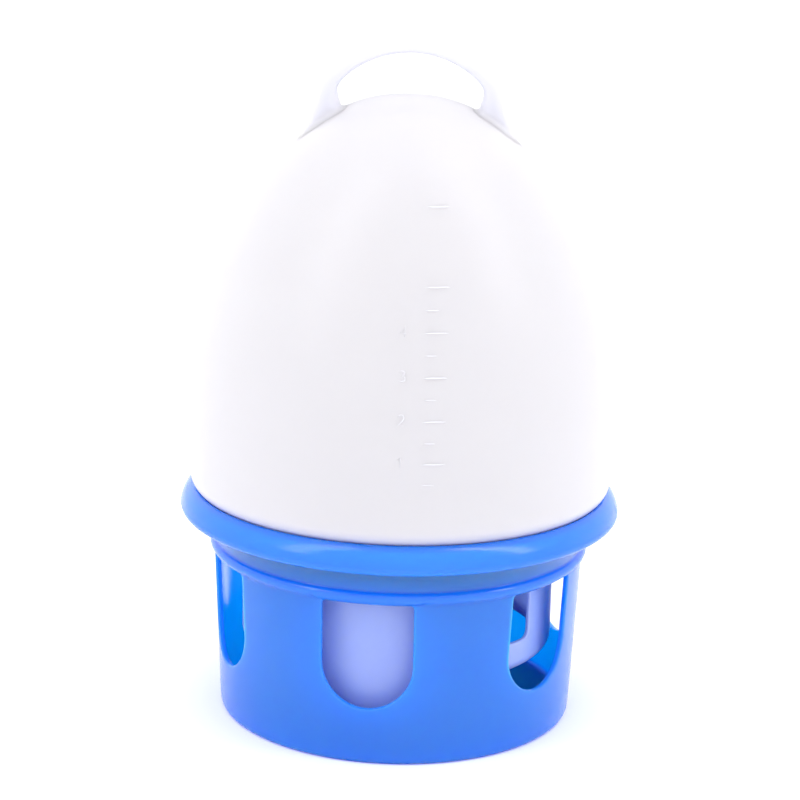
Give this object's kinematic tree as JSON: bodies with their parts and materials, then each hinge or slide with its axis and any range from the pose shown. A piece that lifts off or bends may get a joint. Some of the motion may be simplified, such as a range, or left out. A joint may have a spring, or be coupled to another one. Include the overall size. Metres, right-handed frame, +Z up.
{
  "type": "poultry waterer fount",
  "caption": "Gravity drinker: white egg-shaped bottle with carry handle on a round blue drinking base with arched windows and a flared collar; bottle lifts out, cap unscrews.",
  "frame": {"origin": "centre of the flat foot ring on the ground, on the drinker's vertical axis", "axes": "+Z up through the bottle and the handle, the handle's arch lies in the XZ plane, -Y is the front, with the graduations"},
  "size_m": [0.2042, 0.2042, 0.3148],
  "materials": {
    "base_plastic": "glossy blue polypropylene",
    "bottle_plastic": "translucent white polyethylene, satin gloss",
    "cap_plastic": "translucent white polyethylene, satin gloss",
    "seal_rubber": "soft grey sealing rubber"
  },
  "bodies": {
    "base": {"drinking_base": "base_plastic"},
    "fount": {"water_bottle": "bottle_plastic", "carry_handle": "bottle_plastic"},
    "seal": {"neck_gasket": "seal_rubber"},
    "cap": {"outlet_cap": "cap_plastic"}
  },
  "joints": [
    {"name": "fount_lift", "type": "slide", "parent": "base", "child": "fount", "axis": [0, 0, 1], "range_m": [0, 0.12]},
    {"name": "cap_advance", "type": "slide", "parent": "fount", "child": "seal", "axis": [0, 0, -1], "range_m": [0, 0.0071]},
    {"name": "cap_unscrew", "type": "hinge", "parent": "seal", "child": "cap", "pos_m": [0, 0, 0.075], "axis": [0, 0, -1], "range_deg": [0, 630]}
  ],
  "couplings": [
    {"joint": "cap_advance", "follows": "cap_unscrew", "m_per_rad": 0.00063662}
  ]
}
